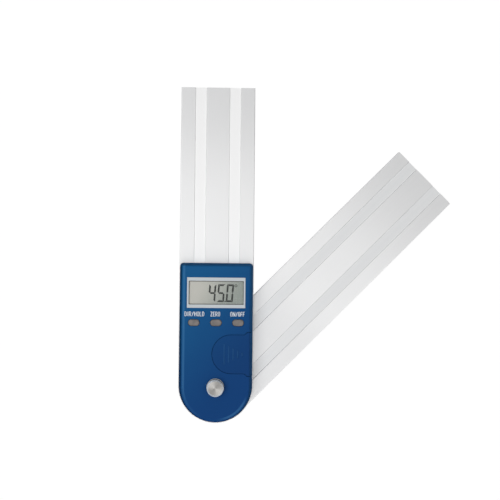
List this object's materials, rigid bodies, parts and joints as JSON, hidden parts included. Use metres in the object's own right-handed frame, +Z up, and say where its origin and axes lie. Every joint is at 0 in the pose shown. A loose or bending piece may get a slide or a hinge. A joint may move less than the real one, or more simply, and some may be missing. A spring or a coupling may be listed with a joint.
{
  "type": "digital angle finder",
  "caption": "Angle finder with two flat metal arms on one pivot, a digital display with keys, a sliding battery cover and a lock knob.",
  "frame": {"origin": "pivot axis, on the back face of the swinging arm that the part lies on", "axes": "+Y along the fixed arm, +X to the side that the swinging arm opens to, +Z up the pivot to the lock knob"},
  "size_m": [0.1848, 0.226, 0.027],
  "materials": {
    "arm_metal": "satin anodised",
    "bolt_steel": "turned",
    "bush_brass": "machined",
    "slide_plastic": "smooth",
    "plate_plastic": "fine texture",
    "shell_plastic": "satin",
    "cover_plastic": "satin",
    "frame_plastic": "smooth",
    "window_clear": "clear",
    "panel_glass": "matt polariser",
    "strip_rubber": "layered",
    "pad_foam": "foam",
    "board_laminate": "solder mask",
    "chip_resin": "moulded",
    "rotor_laminate": "solder mask",
    "ring_steel": "spring steel",
    "key_plastic": "satin",
    "switch_plastic": "moulded",
    "plunger_plastic": "smooth",
    "cell_steel": "bright",
    "holder_plastic": "moulded",
    "contact_brass": "plated spring sheet",
    "washer_steel": "plated",
    "knob_steel": "turned face",
    "screw_steel": "plated"
  },
  "bodies": {
    "housing": {"fixed_arm": "arm_metal", "pivot_bush": "bush_brass", "base_plate": "plate_plastic", "front_shell": "shell_plastic", "display_frame": "frame_plastic", "display_window": "window_clear", "display_panel": "panel_glass", "contact_strip": "strip_rubber", "panel_pad": "pad_foam", "main_board": "board_laminate", "controller_chip": "chip_resin", "switch_bodies": "switch_plastic", "coin_cell": "cell_steel", "cell_holder": "holder_plastic", "positive_contact": "contact_brass", "negative_contact": "contact_brass", "housing_screws": "screw_steel", "board_screws": "screw_steel"},
    "swing": {"swing_arm": "arm_metal", "pivot_bolt": "bolt_steel", "sliding_washer": "slide_plastic", "sensor_rotor": "rotor_laminate", "rotor_ring": "ring_steel"},
    "knob_seat": {"knob_washer": "washer_steel"},
    "knob": {"lock_knob": "knob_steel"},
    "cover": {"battery_cover": "cover_plastic"},
    "hold": {"hold_key": "key_plastic", "hold_plunger": "plunger_plastic"},
    "zero": {"zero_key": "key_plastic", "zero_plunger": "plunger_plastic"},
    "power": {"power_key": "key_plastic", "power_plunger": "plunger_plastic"}
  },
  "joints": [
    {"name": "arm_swing", "type": "hinge", "parent": "housing", "child": "swing", "pos_m": [0, 0, 0.0052], "axis": [0, 0, 1], "continuous": true},
    {"name": "knob_lift", "type": "slide", "parent": "housing", "child": "knob_seat", "axis": [0, 0, 1], "range_m": [0, 0.0005]},
    {"name": "knob_turn", "type": "hinge", "parent": "knob_seat", "child": "knob", "pos_m": [0, 0, 0.0235], "axis": [0, 0, 1], "range_deg": [0, 180]},
    {"name": "cover_slide", "type": "slide", "parent": "housing", "child": "cover", "axis": [1, 0, 0], "range_m": [0, 0.03]},
    {"name": "hold_press", "type": "slide", "parent": "housing", "child": "hold", "axis": [0, 0, -1], "range_m": [0, 0.0004], "stiffness_N_per_m": 1500, "springref_m": -0.0002},
    {"name": "zero_press", "type": "slide", "parent": "housing", "child": "zero", "axis": [0, 0, -1], "range_m": [0, 0.0004], "stiffness_N_per_m": 1500, "springref_m": -0.0002},
    {"name": "power_press", "type": "slide", "parent": "housing", "child": "power", "axis": [0, 0, -1], "range_m": [0, 0.0004], "stiffness_N_per_m": 1500, "springref_m": -0.0002}
  ],
  "couplings": [
    {"joint": "knob_turn", "follows": "knob_lift", "rad_per_m": 6283}
  ]
}
